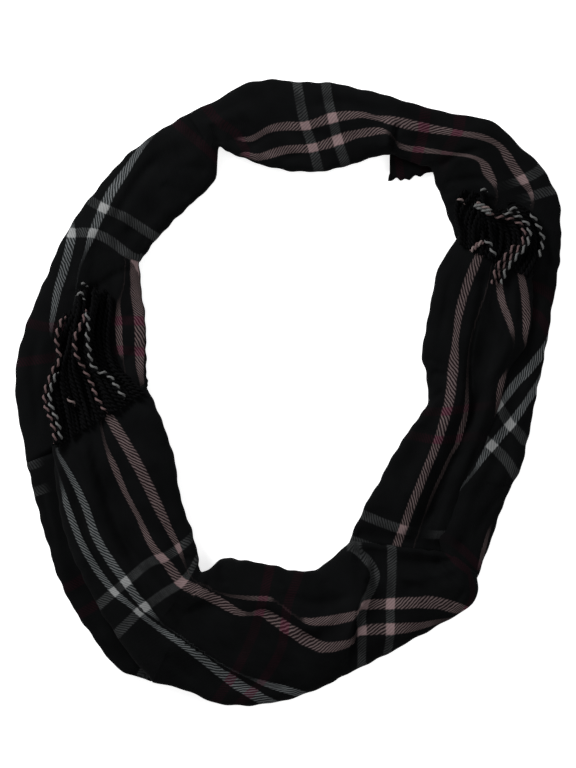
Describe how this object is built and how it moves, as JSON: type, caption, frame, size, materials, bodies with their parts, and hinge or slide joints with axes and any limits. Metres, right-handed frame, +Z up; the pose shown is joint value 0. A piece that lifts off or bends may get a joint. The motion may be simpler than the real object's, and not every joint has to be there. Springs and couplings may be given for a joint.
{
  "type": "fringed muffler",
  "caption": "Fringed check muffler, folded lengthwise and laid flat in a ring of one and a half turns, its ends lying on the turn below.",
  "frame": {"origin": "middle of the ring's outline, on the surface that it lies on", "axes": "+Z up off the surface, +Y towards the ring's top as the picture shows it, +X to the right"},
  "size_m": [0.4159, 0.4758, 0.029],
  "materials": {
    "check_cloth": "brushed acrylic twill, black with paired pink, grey and maroon stripes, matt",
    "fringe_yarn": "two-ply twisted acrylic yarn in black, white and pink, matt"
  },
  "bodies": {
    "root": {"top_stretch": "check_cloth", "left_outer_stretch": "check_cloth", "lower_rim_stretch": "check_cloth", "left_end_stretch": "check_cloth", "bottom_stretch": "check_cloth", "right_outer_stretch": "check_cloth", "right_end_stretch": "check_cloth", "selvage_flap": "check_cloth", "left_fringe": "fringe_yarn", "right_fringe": "fringe_yarn"}
  },
  "joints": []
}
